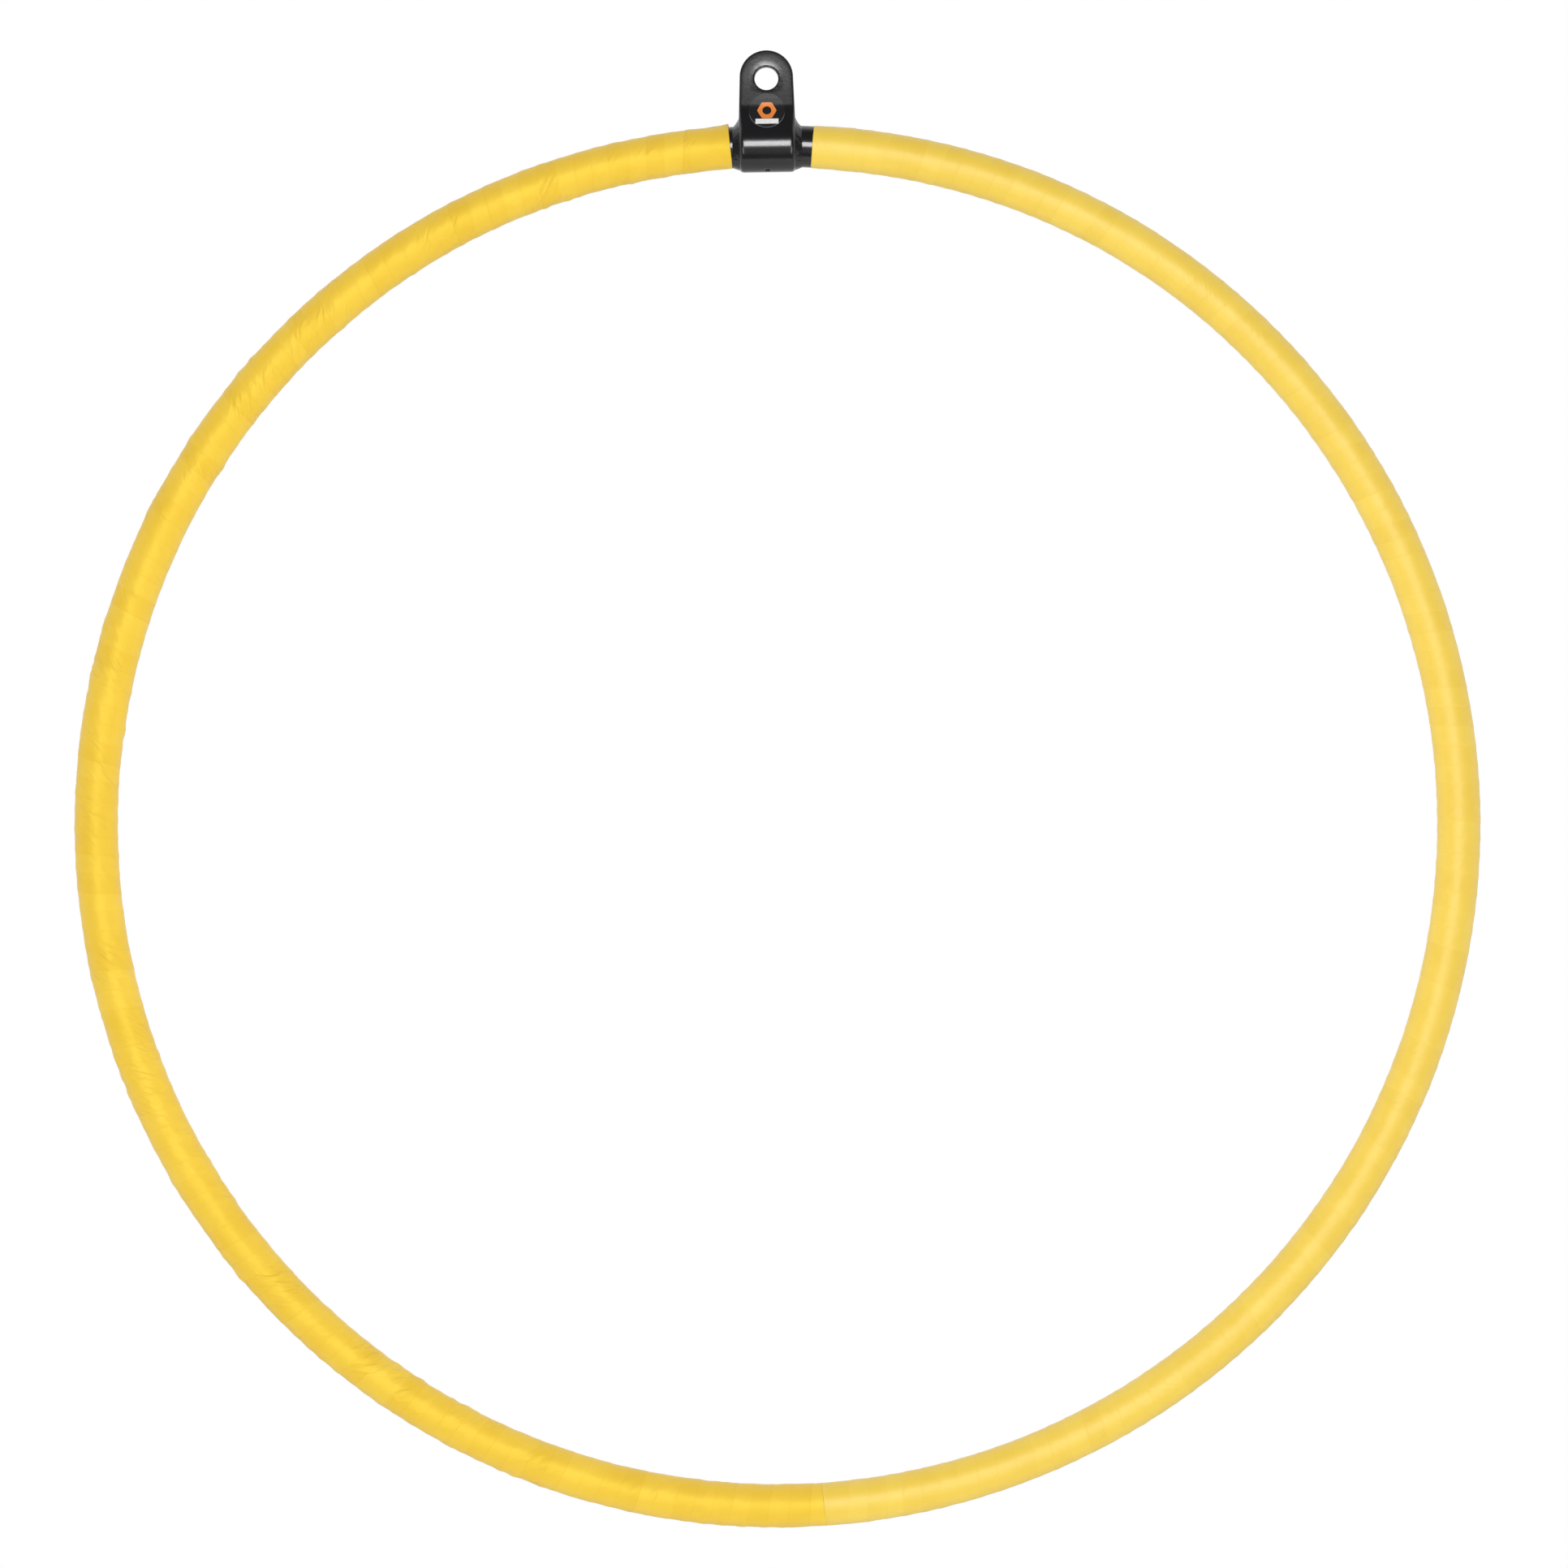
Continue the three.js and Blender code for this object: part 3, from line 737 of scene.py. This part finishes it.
def vent_patch(shape, grid, row, column, block, bottom):
    """Rings from a square block of the grid to the round vent hole."""
    span = range(-block, block)
    square = [grid[row - block][column + j] for j in span]
    square += [grid[row + i][column + block] for i in span]
    square += [grid[row + block][column - j] for j in span]
    square += [grid[row - i][column - block] for i in span]
    rings = [square]
    forward = VENT_STEPS * (math.pi + 2 * FLARE_ANGLE) / FOLD_STEPS
    for share in (0.5, 1.0):
        points = []
        for index in square:
            x, y, z = shape.points[index]
            around = (math.atan2(-y, -z) - forward) * bottom
            scale = 1 + share * (VENT_RADIUS / math.hypot(x, around) - 1)
            turn = forward + around * scale / bottom
            points.append((x * scale, -bottom * math.sin(turn), -bottom * math.cos(turn)))
        rings.append(shape.add(points))
        shape.join(rings[-2], rings[-1], closed=True)
    return rings[-1]


def eye_patch(shape, rim, foot, face, outside):
    """Rings from a ply's outline to the eye. foot is the fold's first or last row, from -X to +X."""
    outer = list(rim) + list(reversed(foot[1:-1]))
    hole = EYE_RIM[0][0] if outside else EYE_RADIUS
    rings = [outer]
    for share in (0.3, 0.6, 1.0):
        points = []
        for index in outer:
            x, _, z = shape.points[index]
            scale = 1 + share * (hole / math.hypot(x, z - EYE_HEIGHT) - 1)
            height = EYE_HEIGHT + (z - EYE_HEIGHT) * scale
            y = ply_face(height)
            points.append((x * scale, face * (y if outside else y - bar_depth(y)), height))
        rings.append(shape.add(points))
        shape.join(rings[-2], rings[-1], closed=True)
    return rings[-1]


def eye_bore(shape, face, outer_loop, inner_loop):
    """The eye's rounded rim and its bore through one ply."""
    before = outer_loop
    for radius, proud in EYE_RIM[1:]:
        points = []
        for index in outer_loop:
            x, _, z = shape.points[index]
            scale = radius / math.hypot(x, z - EYE_HEIGHT)
            height = EYE_HEIGHT + (z - EYE_HEIGHT) * scale
            points.append((x * scale, face * (ply_face(height) + proud), height))
        after = shape.add(points)
        shape.join(before, after, closed=True)
        before = after
    shape.join(before, inner_loop, closed=True)


def edge_steps():
    """The bar's edge from its outer to its inner face: each step gives an inset and a depth for a point's
    round and the bar's depth there."""
    steps = []
    for turn in np.linspace(0, math.pi / 2, 7):
        steps.append(lambda r, depth, t=turn: (r * (1 - math.sin(t)), min(r, depth) * (1 - math.cos(t))))
    for turn in np.linspace(0, math.pi / 2, 4):
        steps.append(
            lambda r, depth, t=turn: (
                INNER_EDGE_ROUND * (1 - math.cos(t)),
                depth - min(INNER_EDGE_ROUND, depth - min(r, depth)) * (1 - math.sin(t)),
            )
        )
    return steps


def make_tab(material):
    """The folded bar, with round edges, the eye through both plies and the vent hole in the underside."""
    line = fold_line()
    front, back = ply_rim(-1), ply_rim(1)
    right, left = side_rim(1, line), side_rim(-1, line)
    # Once round the outline: over the front ply, under the tube on the right to the back ply, over it, and
    # back under the tube on the left.
    loop = front + right[1:-1] + back[::-1] + left[-2:0:-1]
    shape = Shape()
    rows = [shape.add([rim.at(*step(rim.round, rim.depth)) for rim in loop]) for step in edge_steps()]
    for row, next_row in zip(rows, rows[1:]):
        shape.join(row, next_row, closed=True)

    def split(row):
        a, b, c = len(front), len(front) + len(right) - 2, len(front) + len(right) - 2 + len(back)
        front_row, back_row = row[:a], row[b:c][::-1]
        right_row = [front_row[-1], *row[a:b], back_row[-1]]
        left_row = [front_row[0], *row[c:][::-1], back_row[0]]
        return front_row, right_row, back_row, left_row

    outer = face_mesh(shape, line, split(rows[0]), edge_round_at, True)
    inner = face_mesh(shape, line, split(rows[-1]), lambda z: INNER_EDGE_ROUND, False)
    shape.join(outer[0], inner[0], closed=True)
    eye_bore(shape, -1, outer[1], inner[1])
    eye_bore(shape, 1, outer[2], inner[2])
    lift_to_tab(shape)
    tab = shape.object("folded_tab", material)
    place(tab, "black_coat", "tab_strap")


def lift_to_tab(shape):
    """Moves points from the tab's own frame, with its origin in the tube, to the frame's."""
    shape.points = [(x, y, z - EYE_HEIGHT) for x, y, z in shape.points]


def make_seam(material):
    """The weld in the gap between the plies, round the tab's edge: a low rippled bead, wider below."""
    foot, side_steps, arc_steps, sides = 19.5, 33, 63, 16
    narrow, wide = 0.5, 3.2  # the gap that it fills, at the top and at the foot
    overlap, sunk = 1.15, 0.55  # how far it runs onto each ply, and in from their edge
    path = []
    for height in np.linspace(foot, ARC_HEIGHT, side_steps + 1)[:-1]:
        path.append((-half_width(height), height, (1.0, 0.0)))
    for turn in np.linspace(math.pi, 0, arc_steps + 1):
        out = np.array([math.cos(turn), math.sin(turn)])
        path.append((TAB_TOP_RADIUS * out[0], ARC_HEIGHT + TAB_TOP_RADIUS * out[1], tuple(-out)))
    path += [(-x, height, (-1.0, 0.0)) for x, height, _ in reversed(path[:side_steps])]
    shape = Shape()
    rows = []
    for i, (x, height, inward) in enumerate(path):
        gap = narrow + (wide - narrow) * (1 - float(smoothstep(height, 20, 46)))
        half = gap / 2 + overlap
        ripple = 0.1 * math.sin(i * 1.45) + 0.06 * math.sin(i * 2.4 + 1)
        section = []
        for turn in np.arange(sides) * 2 * math.pi / sides:
            rise = math.cos(turn)
            out = (0.45 + ripple) * rise if rise > 0 else 1.6 * rise
            depth = sunk - out
            section.append((x + inward[0] * depth, half * math.sin(turn), height + inward[1] * depth))
        rows.append(shape.add(section))
    for row, next_row in zip(rows, rows[1:]):
        shape.join(row, next_row, closed=True)
    shape.faces.append(tuple(rows[0]))
    shape.faces.append(tuple(rows[-1]))
    lift_to_tab(shape)
    seam = shape.object("seam_bead", material)
    place(seam, "black_coat", "seam_weld")


def make_side_bead(name, node, side, seed, roughness, material):
    """The weld down one side of the tab: it covers the bar's edge and runs down to the tube in a fillet, and
    at the top it closes the opening between the plies."""
    sides, steps = 160, 14
    reach, tuck = 5.2, 1.0  # along the tube from where it starts, and how far that is inside the bar's edge
    apex = 22.3  # its height at the top, over the opening
    below_face, toe, root = 1.05, 0.15, 1.0  # depths under the bar's face and, twice, the tube's
    turns = np.arange(sides) * 2 * math.pi / sides
    top = np.abs((turns - math.pi / 2 + math.pi) % (2 * math.pi) - math.pi)
    off_slope = np.clip(math.pi / 2 - FLARE_ANGLE - top, 0, math.radians(54))
    bar_edge = WRAP_RADIUS / np.cos(off_slope) - below_face
    start = -np.log(np.exp(-bar_edge) + np.exp(-apex))
    height = start * np.sin(turns)
    side_x = np.array([half_width(z) for z in height]) - tuck
    power = 0.95 - 0.3 * (1 - smoothstep(top, 0.3, 1.2))
    along = turns * WRAP_RADIUS
    shape = Shape()
    rows = []
    for k in range(steps + 1):
        share = k / steps
        out = reach * share ** (1 / power)
        radius = TUBE_RADIUS - toe + (start - TUBE_RADIUS + toe) * (1 - share) ** (1 / power)
        where = np.stack([along / 2.3, out / 3, np.full(sides, 0.5)], axis=1)
        ripple = 0.5 * np.sin(along * 2 * math.pi / 2.1 + 2.2 * share + 1.5 * noise(where / 2, seed))
        lumps = noise(where, seed + 1) + 0.6 * noise(where * 2.1, seed + 2)
        bulge = roughness * (ripple + lumps) * math.sin(math.pi * min(1, share * 1.02)) ** 0.6
        rows.append((side_x + out + 0.6 * bulge, radius + 0.8 * bulge))
    rows.append((side_x + reach * 0.6, np.full(sides, TUBE_RADIUS - root)))
    rows.append((side_x, np.full(sides, TUBE_RADIUS - root)))
    indices = []
    for x, radius in rows:
        # The tube already slopes down here, so the fillet's foot follows it.
        drop = x**2 / (2 * TOP_RADIUS)
        share = np.clip((start - radius) / (start - TUBE_RADIUS), 0, 1)
        points = np.stack([side * x, radius * np.cos(turns), radius * np.sin(turns) - drop * share], axis=1)
        indices.append(shape.add(points))
    for row, next_row in zip(indices, indices[1:] + indices[:1]):
        shape.join(row, next_row, closed=True)
    lift_to_tab(shape)
    bead = shape.object(name, material)
    place(bead, "black_coat", node)


# ---- the label -----------------------------------------------------------------------------------


LABEL_RINGS = 30
FILM_LAYER = (-0.05, 0.12)  # how far proud of the tab the vinyl's back and front are
PRINT_LAYER = (0.1, 0.2)
MARK_CORNER = 0.8
MARK_HOLE = 2.7


def on_front(x, height, proud):
    """A point on the front of the tab, this far proud of it, at a height above the tube's centre."""
    line = [row for row in fold_line() if row[0] < 0 and row[1] > 0]
    top, lean = ARC_HEIGHT, ply_lean(ARC_HEIGHT)
    line.append((-ply_face(top), top, -math.cos(lean), math.sin(lean)))
    line = sorted(line, key=lambda row: row[1])
    heights = [row[1] for row in line]
    y, ny, nz = (np.interp(height, heights, [row[k] for row in line]) for k in (0, 2, 3))
    return (x, y + proud * ny, height + proud * nz - EYE_HEIGHT)


def make_layer(name, slot, node, outline, hole, low, high, material):
    """A thin layer on the tab's front, from low to high proud of it. outline goes round it, and hole is an
    equally long outline of the opening in it, or the layer's centre where it has none."""
    solid = len(hole) == 2
    inner = [hole] * len(outline) if solid else hole
    shares = np.linspace(0, 1, LABEL_RINGS + 1)
    if solid:
        shares = shares[:-1]
    shape = Shape()
    edges = []
    for proud in (low, high):
        rings = []
        for share in shares:
            ring = []
            for a, b in zip(outline, inner):
                x, z = a[0] + (b[0] - a[0]) * share, a[1] + (b[1] - a[1]) * share
                ring.append(on_front(x, z, proud))
            rings.append(shape.add(ring))
        for row, next_row in zip(rings, rings[1:]):
            shape.join(row, next_row, closed=True)
        if solid:
            centre = shape.add([on_front(*hole, proud)])[0]
            shape.faces += [(a, b, centre) for a, b in zip(rings[-1], rings[-1][1:] + rings[-1][:1])]
        edges.append((rings[0], rings[-1]))
    shape.join(edges[0][0], edges[1][0], closed=True)
    if not solid:
        shape.join(edges[0][1], edges[1][1], closed=True)
    layer = shape.object(name, material, sharp=math.radians(40))
    place(layer, slot, node)


def round_outline(radius, middle, count=96):
    turns = np.arange(count) * 2 * math.pi / count
    return [(radius * math.cos(t), middle + radius * math.sin(t)) for t in turns]


def hexagon_outline(width, middle, corner, count=96):
    """A six-sided outline with round corners, points to the sides."""
    points = []
    flat = width / 2 * math.cos(math.pi / 6) - corner
    for i in range(count):
        turn = 2 * math.pi * i / count
        side = (turn % (math.pi / 3)) - math.pi / 6
        base = turn - side
        along = flat * math.tan(side)
        x = flat * math.cos(base) - along * math.sin(base)
        z = flat * math.sin(base) + along * math.cos(base)
        points.append((x + corner * math.cos(turn), middle + z + corner * math.sin(turn)))
    return points


def bar_outline(width, tall, middle, count=96):
    """A rectangle's outline, its points spread round it by turn, so that it pairs with another outline."""
    points = []
    for i in range(count):
        turn = 2 * math.pi * i / count
        square = 1 / max(abs(math.cos(turn)), abs(math.sin(turn)))
        points.append((width / 2 * square * math.cos(turn), middle + tall / 2 * square * math.sin(turn)))
    return points


def make_label(vinyl, orange, white):
    """A round vinyl label with a plain six-sided mark and a blank bar."""
    label_radius = (label_high.x - label_low.x) / 2
    label_middle = (label_high.z + label_low.z) / 2 + EYE_HEIGHT
    mark_width = mark_high.x - mark_low.x
    mark_middle = (mark_high.z + mark_low.z) / 2 + EYE_HEIGHT
    bar_width = bar_high.x - bar_low.x
    bar_tall = bar_high.z - bar_low.z
    bar_middle = (bar_high.z + bar_low.z) / 2 + EYE_HEIGHT
    disc = round_outline(label_radius, label_middle)
    make_layer("label_film", "label_vinyl", "label_disc", disc, (0.0, label_middle), *FILM_LAYER, vinyl)
    mark = hexagon_outline(mark_width, mark_middle, MARK_CORNER)
    hole = round_outline(MARK_HOLE, mark_middle)
    make_layer("label_print_mark", "orange_print", "label_mark", mark, hole, *PRINT_LAYER, orange)
    bar = bar_outline(bar_width, bar_tall, bar_middle)
    make_layer("label_print_bar", "white_print", "serial_bar", bar, (0.0, bar_middle), *PRINT_LAYER, white)


# ---- studio --------------------------------------------------------------------------------------


def make_world():
    """White behind and to the sides, dim in front and above. It is plain white where the camera sees it."""
    world = bpy.data.worlds.new("studio")
    bpy.context.scene.world = world
    world.use_nodes = True
    world.node_tree.nodes.clear()
    w = Nodes(world.node_tree)
    where = w.node("ShaderNodeTexCoord").outputs["Generated"]
    x, y, _ = w.node("ShaderNodeSeparateXYZ", {0: where}).outputs
    inputs = {0: w.math("ABSOLUTE", x), 1: 0.8, 2: y}
    behind = w.node("ShaderNodeMath", inputs, operation="MULTIPLY_ADD").outputs[0]
    inputs = {0: behind, 1: -0.15, 2: 0.6, 3: 0.1, 4: 1.15}
    level = w.node("ShaderNodeMapRange", inputs, interpolation_type="SMOOTHSTEP").outputs[0]
    lit = w.node("ShaderNodeBackground", {"Color": level}).outputs[0]
    seen = w.node("ShaderNodeBackground", {"Color": (1, 1, 1, 1)}).outputs[0]
    from_camera = w.node("ShaderNodeLightPath").outputs["Is Camera Ray"]
    chosen = w.node("ShaderNodeMixShader", {0: from_camera, 1: lit, 2: seen}).outputs[0]
    w.node("ShaderNodeOutputWorld", {"Surface": chosen})


def add_softbox(name, offset, size, radiance):
    """A rectangular soft light this far from the tube under the tab, in metres, that faces it."""
    light = bpy.data.lights.new(name, "AREA")
    light.shape = "RECTANGLE"
    light.size, light.size_y = size
    light.energy = radiance * math.pi * light.size * light.size_y
    softbox = new_object(name, light)
    softbox.location = Vector((0, 0, -EYE_HEIGHT * MM)) + Vector(offset)
    softbox.rotation_euler = Vector(offset).to_track_quat("Z", "Y").to_euler()


def add_lights():
    """A tall softbox over the camera, which the black steel mirrors, and a dimmer one to each side of it."""
    add_softbox("key", offset=(0, -3.0, 0.2), size=(0.72, 1.15), radiance=21.0)
    for side, name in ((-1, "fill_left"), (1, "fill_right")):
        add_softbox(name, offset=(0.75 * side, -2.2, -1.1), size=(0.7, 1.2), radiance=5.0)


def make_floor():
    """A round white floor below and behind the ring, out of the camera's view. Lengths are in metres."""
    floor_drop, floor_radius, floor_back = 1.35, 2.4, 1.6
    mesh = bpy.data.meshes.new("studio_floor")
    work = bmesh.new()
    bmesh.ops.create_circle(work, cap_ends=True, segments=128, radius=floor_radius)
    work.to_mesh(mesh)
    work.free()
    floor = new_object("studio_floor", mesh)
    floor.location = (0, floor_back, HOOP_CENTRE_Z * MM - floor_drop)
    m = Material("studio_floor")
    cloud = m.ramp(m.noise(m.position(), 0.01, 3.0), 0.4, 0.6)
    m.set(Base_Color=m.mix(cloud, (0.9, 0.9, 0.9, 1), (0.92, 0.92, 0.92, 1)), Roughness=0.8)
    mesh.materials.append(m.material)


def make_camera():
    """Square on to the ring and rolled a little."""
    distance = 2.4  # metres
    view_width = 0.9494  # metres, at the ring
    aside, above = 3.9, 24.5  # where it looks, from the ring's centre
    roll = math.radians(0.86)
    camera = bpy.data.cameras.new("camera")
    camera.sensor_width = 36
    camera.lens = camera.sensor_width * distance / view_width
    camera.clip_start, camera.clip_end = 0.05, 50
    camera_object = new_object("camera", camera)
    right = Vector((math.cos(roll), 0, -math.sin(roll)))
    up = Vector((math.sin(roll), 0, math.cos(roll)))
    back = Vector((0, -1, 0))
    aim = Vector((0, 0, HOOP_CENTRE_Z)) * MM + (right * aside + up * above) * MM
    turn = Matrix((right, up, back)).transposed().to_4x4()
    camera_object.matrix_world = Matrix.Translation(aim + back * distance) @ turn
    bpy.context.scene.camera = camera_object


# ---- build ---------------------------------------------------------------------------------------

bpy.context.scene.view_settings.view_transform = "Standard"
make_camera()
make_world()
add_lights()
make_floor()

coat = powder_coat()
steel = bare_steel()
for inner_node in ("joint_sleeve", "joint_weld"):
    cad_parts[inner_node].data.materials.clear()
    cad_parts[inner_node].data.materials.append(steel)
make_tube(coat)
make_tab(coat)
make_seam(coat)
make_side_bead("weld_bead_left", "side_weld_left", -1, 31, 0.16, coat)
make_side_bead("weld_bead_right", "side_weld_right", 1, 37, 0.22, coat)
make_label(
    printed(
        "label_vinyl",
        (0.012, 0.012, 0.013, 1),
        0.2,
        # edge places the painted highlight along the label's lower rim.
        edge=((label_high.z + label_low.z) / 2, (label_high.x - label_low.x) / 2),
    ),
    printed("orange_print", (0.83, 0.235, 0.04, 1), 0.35),
    printed("white_print", (0.86, 0.86, 0.85, 1), 0.35),
)

left_cloth = tape_cloth(
    "tape_left",
    dark=(0.765, 0.49, 0.041, 1),
    light=(0.825, 0.555, 0.061, 1),
    edge=(0.7, 0.41, 0.03, 1),
    crease_depth=0.28,
    roughness=0.46,
    gloss=0.72,
    gloss_tint=(1.0, 0.9, 0.15, 1),
)
right_cloth = tape_cloth(
    "tape_right",
    dark=(0.78, 0.535, 0.053, 1),
    light=(0.83, 0.595, 0.078, 1),
    edge=(0.8, 0.53, 0.06, 1),
    crease_depth=0.08,
    roughness=0.47,
    gloss=0.65,
    gloss_tint=(1.0, 1.0, 0.9, 1),
)
half_join = HALF_JOIN / HOOP_RADIUS
left_wrap = make_wrap(
    "cloth_wrap_left",
    "tape_wrap_left",
    "tape_left",
    left_cloth,
    start=-math.pi - TAPE_JOIN_ANGLE + half_join,
    end=-TAPE_END_LEFT / TOP_RADIUS,
    spin=-1,
    seed=11,
    groups=85,
    crease_rise=0.5,
    pucker=0.18,
    lift=1.4,
    slope=JOIN_SLOPE,
)
right_wrap = make_wrap(
    "cloth_wrap_right",
    "tape_wrap_right",
    "tape_right",
    right_cloth,
    start=math.pi - TAPE_JOIN_ANGLE - half_join,
    end=TAPE_END_RIGHT / TOP_RADIUS,
    spin=1,
    seed=23,
    groups=12,
    crease_rise=0.2,
    pucker=0.1,
    lift=0.0,
    slope=-JOIN_SLOPE,
)
